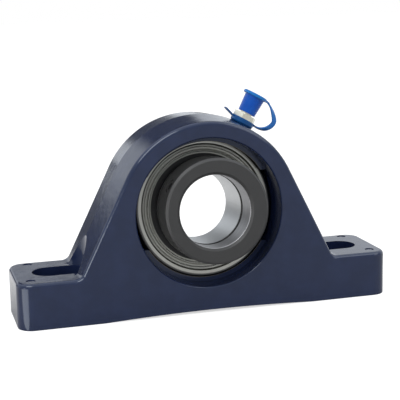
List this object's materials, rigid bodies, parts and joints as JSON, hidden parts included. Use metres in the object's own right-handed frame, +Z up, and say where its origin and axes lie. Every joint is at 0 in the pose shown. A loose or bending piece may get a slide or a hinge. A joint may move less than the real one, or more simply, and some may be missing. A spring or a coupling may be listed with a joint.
{
  "type": "pillow block bearing",
  "caption": "Cast pillow block bearing with slotted feet, a self-aligning ball bearing insert, an eccentric locking collar and a capped grease nipple.",
  "frame": {"origin": "midway between the two bolt slots and midway through the housing's depth, on the mounting plane", "axes": "+Z up from the mounting plane, +X along the base, -Y out of the front face where the locking collar is"},
  "size_m": [0.1626, 0.047, 0.092],
  "materials": {
    "housing_paint": "navy gloss over cast iron",
    "nipple_zinc": "zinc plated",
    "cap_plastic": "soft blue polyethylene",
    "ring_steel": "ground bearing steel",
    "ball_steel": "polished bearing steel",
    "cage_steel": "pressed sheet steel",
    "shield_steel": "pressed sheet steel, dull",
    "seal_rubber": "black nitrile rubber",
    "collar_black": "black oxide"
  },
  "bodies": {
    "housing_unit": {"housing": "housing_paint", "grease_nipple": "nipple_zinc", "strap_ring": "cap_plastic", "cap_strap": "cap_plastic", "nipple_spring": "cage_steel"},
    "insert": {"outer_ring": "ring_steel", "front_seal_shield": "shield_steel", "front_seal_lip": "seal_rubber", "rear_seal_shield": "shield_steel", "rear_seal_lip": "seal_rubber"},
    "inner_race": {"inner_ring": "ring_steel"},
    "ball_cage": {"cage_front": "cage_steel", "cage_rear": "cage_steel", "cage_rivets": "cage_steel", "ball_1": "ball_steel", "ball_2": "ball_steel", "ball_3": "ball_steel", "ball_4": "ball_steel", "ball_5": "ball_steel", "ball_6": "ball_steel", "ball_7": "ball_steel", "ball_8": "ball_steel", "ball_9": "ball_steel"},
    "collar": {"locking_collar": "collar_black"},
    "set_screw": {"collar_set_screw": "collar_black"},
    "check_ball": {"nipple_ball": "ball_steel"},
    "cap": {"nipple_cap": "cap_plastic"}
  },
  "joints": [
    {"name": "insert_swivel", "type": "hinge", "parent": "housing_unit", "child": "insert", "pos_m": [0, 0, 0.0429], "axis": [1, 0, 0], "range_deg": [0, 10]},
    {"name": "inner_spin", "type": "hinge", "parent": "insert", "child": "inner_race", "pos_m": [0, 0, 0.0429], "axis": [0, -0.9962, 0.0872], "continuous": true},
    {"name": "cage_spin", "type": "hinge", "parent": "insert", "child": "ball_cage", "pos_m": [0, 0, 0.0429], "axis": [0, -0.9962, 0.0872], "continuous": true},
    {"name": "collar_turn", "type": "hinge", "parent": "inner_race", "child": "collar", "pos_m": [0, -0.02052, 0.0447], "axis": [0, -0.9962, 0.0872], "range_deg": [-18, 18]},
    {"name": "screw_travel", "type": "slide", "parent": "collar", "child": "set_screw", "axis": [-0.8387, 0.0475, 0.5426], "range_m": [-0.0003, 0.002]},
    {"name": "check_ball_slide", "type": "slide", "parent": "housing_unit", "child": "check_ball", "axis": [0.5, 0, 0.866], "range_m": [-0.0012, 0], "stiffness_N_per_m": 150, "springref_m": 0.002, "deforming": ["nipple_spring"]},
    {"name": "cap_pull", "type": "slide", "parent": "housing_unit", "child": "cap", "axis": [0.5, 0, 0.866], "range_m": [0, 0.012], "deforming": ["cap_strap"]}
  ],
  "couplings": [
    {"joint": "cage_spin", "follows": "inner_spin", "ratio": 0.3965}
  ]
}
